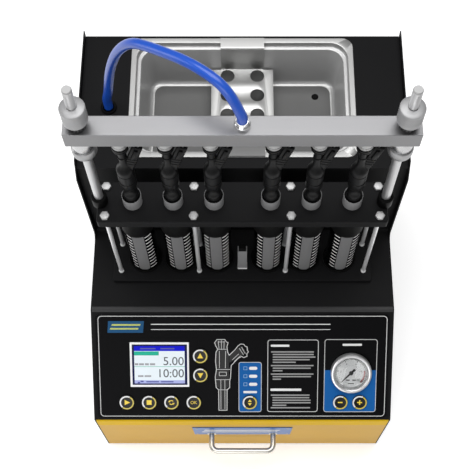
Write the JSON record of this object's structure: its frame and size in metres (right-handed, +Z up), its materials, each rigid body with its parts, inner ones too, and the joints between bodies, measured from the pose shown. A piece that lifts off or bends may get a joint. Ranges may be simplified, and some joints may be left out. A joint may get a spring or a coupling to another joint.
{
  "type": "fuel injector cleaner and tester",
  "caption": "Bench cabinet with a sloped control panel, drawer, ultrasonic tank and a rack of measuring tubes under clamped injectors",
  "frame": {"origin": "centre of the bounding box in plan, on the plane of the four feet", "axes": "+Z up along the clamp studs, -Y towards the user who faces the panel, +X to that user's right"},
  "size_m": [0.43, 0.4978, 0.735],
  "materials": {
    "black_coat": "fine-textured black powder coat",
    "yellow_coat": "satin golden yellow powder coat",
    "chrome": "polished plating",
    "aluminium": "brushed and clear anodised",
    "stainless": "bright drawn stainless sheet",
    "zinc_sheet": "plain zinc plate",
    "glass": "clear",
    "black_plastic": "satin moulded",
    "black_rubber": "matt",
    "blue_hose": "smooth extruded tube",
    "grey_plastic": "satin moulded",
    "black_film": "printed polyester film",
    "display": "lit colour display behind a white frame",
    "pointer_black": "painted pointer",
    "circuit_board": "green solder mask",
    "white_plastic": "translucent moulded",
    "button_metal": "turned ring with a printed cap"
  },
  "bodies": {
    "cabinet": {"side_panel_right": "black_coat", "side_panel_left": "black_coat", "base_pan": "black_coat", "front_sheet": "black_coat", "top_deck": "black_coat", "rear_panel": "black_coat", "inner_shelf": "zinc_sheet", "drawer_runner_right": "zinc_sheet", "drawer_runner_left": "zinc_sheet", "rack_base": "black_coat", "rack_manifold": "black_coat", "centre_post": "grey_plastic", "clamp_stud_left": "chrome", "clamp_stud_right": "chrome", "ultrasonic_tank": "stainless", "ultrasonic_transducer": "aluminium", "supply_hose": "blue_hose", "hose_grommet": "black_rubber", "control_overlay": "black_film", "display_module": "display", "gauge_case": "chrome", "gauge_glass": "glass", "control_board": "circuit_board", "fluid_reservoir": "white_plastic", "fluid_pump": "zinc_sheet", "power_supply": "zinc_sheet", "power_inlet": "black_plastic", "measuring_tube_1": "glass", "measuring_tube_2": "glass", "measuring_tube_3": "glass", "measuring_tube_4": "glass", "measuring_tube_5": "glass", "measuring_tube_6": "glass"},
    "drawer": {"drawer_front": "yellow_coat", "drawer_tray": "black_coat", "drawer_handle": "chrome"},
    "clamp": {"clamp_rail": "aluminium", "hose_fitting": "chrome", "injector_1": "black_plastic", "injector_2": "black_plastic", "injector_3": "black_plastic", "injector_4": "black_plastic", "injector_5": "black_plastic", "injector_6": "black_plastic"},
    "left_nut": {"height_nut_left": "chrome"},
    "right_nut": {"height_nut_right": "chrome"},
    "left_knob": {"clamp_knob_left": "chrome"},
    "right_knob": {"clamp_knob_right": "chrome"},
    "injector_tray": {"tank_tray": "stainless"},
    "pointer": {"gauge_needle": "pointer_black"},
    "mains_rocker": {"rocker_switch": "black_plastic"},
    "key_up": {"button_up": "button_metal"},
    "key_down": {"button_down": "button_metal"},
    "key_start": {"button_start": "button_metal"},
    "key_stop": {"button_stop": "button_metal"},
    "key_cycle": {"button_cycle": "button_metal"},
    "key_confirm": {"button_confirm": "button_metal"},
    "key_select": {"button_select": "button_metal"},
    "key_minus": {"button_minus": "button_metal"},
    "key_plus": {"button_plus": "button_metal"}
  },
  "joints": [
    {"name": "drawer_slide", "type": "slide", "parent": "cabinet", "child": "drawer", "axis": [0, -1, 0], "range_m": [0, 0.25]},
    {"name": "clamp_lift", "type": "slide", "parent": "cabinet", "child": "clamp", "axis": [0, 0, 1], "range_m": [0, 0.065], "deforming": ["supply_hose"]},
    {"name": "left_nut_turn", "type": "hinge", "parent": "cabinet", "child": "left_nut", "pos_m": [-0.1795, -0.0054, 0.6072], "axis": [0, 0, 1], "continuous": true},
    {"name": "left_knob_turn", "type": "hinge", "parent": "clamp", "child": "left_knob", "pos_m": [-0.1795, -0.0054, 0.68], "axis": [0, 0, 1], "continuous": true},
    {"name": "right_nut_turn", "type": "hinge", "parent": "cabinet", "child": "right_nut", "pos_m": [0.1795, -0.0054, 0.6072], "axis": [0, 0, 1], "continuous": true},
    {"name": "right_knob_turn", "type": "hinge", "parent": "clamp", "child": "right_knob", "pos_m": [0.1795, -0.0054, 0.68], "axis": [0, 0, 1], "continuous": true},
    {"name": "tray_lift", "type": "slide", "parent": "cabinet", "child": "injector_tray", "axis": [0, 0, 1], "range_m": [0, 0.1]},
    {"name": "pointer_turn", "type": "hinge", "parent": "cabinet", "child": "pointer", "pos_m": [0.1557, -0.16024, 0.21852], "axis": [0, 0.5878, -0.809], "range_deg": [0, 270], "stiffness_Nm_per_rad": 0.001},
    {"name": "mains_rock", "type": "hinge", "parent": "cabinet", "child": "mains_rocker", "pos_m": [-0.08, 0.2429, 0.217], "axis": [1, 0, 0], "range_deg": [0, 14]},
    {"name": "key_up_press", "type": "slide", "parent": "cabinet", "child": "key_up", "axis": [0, 0.5878, -0.809], "range_m": [0, 0.001], "stiffness_N_per_m": 400},
    {"name": "key_down_press", "type": "slide", "parent": "cabinet", "child": "key_down", "axis": [0, 0.5878, -0.809], "range_m": [0, 0.001], "stiffness_N_per_m": 400},
    {"name": "key_start_press", "type": "slide", "parent": "cabinet", "child": "key_start", "axis": [0, 0.5878, -0.809], "range_m": [0, 0.001], "stiffness_N_per_m": 400},
    {"name": "key_stop_press", "type": "slide", "parent": "cabinet", "child": "key_stop", "axis": [0, 0.5878, -0.809], "range_m": [0, 0.001], "stiffness_N_per_m": 400},
    {"name": "key_cycle_press", "type": "slide", "parent": "cabinet", "child": "key_cycle", "axis": [0, 0.5878, -0.809], "range_m": [0, 0.001], "stiffness_N_per_m": 400},
    {"name": "key_confirm_press", "type": "slide", "parent": "cabinet", "child": "key_confirm", "axis": [0, 0.5878, -0.809], "range_m": [0, 0.001], "stiffness_N_per_m": 400},
    {"name": "key_select_press", "type": "slide", "parent": "cabinet", "child": "key_select", "axis": [0, 0.5878, -0.809], "range_m": [0, 0.001], "stiffness_N_per_m": 400},
    {"name": "key_minus_press", "type": "slide", "parent": "cabinet", "child": "key_minus", "axis": [0, 0.5878, -0.809], "range_m": [0, 0.001], "stiffness_N_per_m": 400},
    {"name": "key_plus_press", "type": "slide", "parent": "cabinet", "child": "key_plus", "axis": [0, 0.5878, -0.809], "range_m": [0, 0.001], "stiffness_N_per_m": 400}
  ]
}
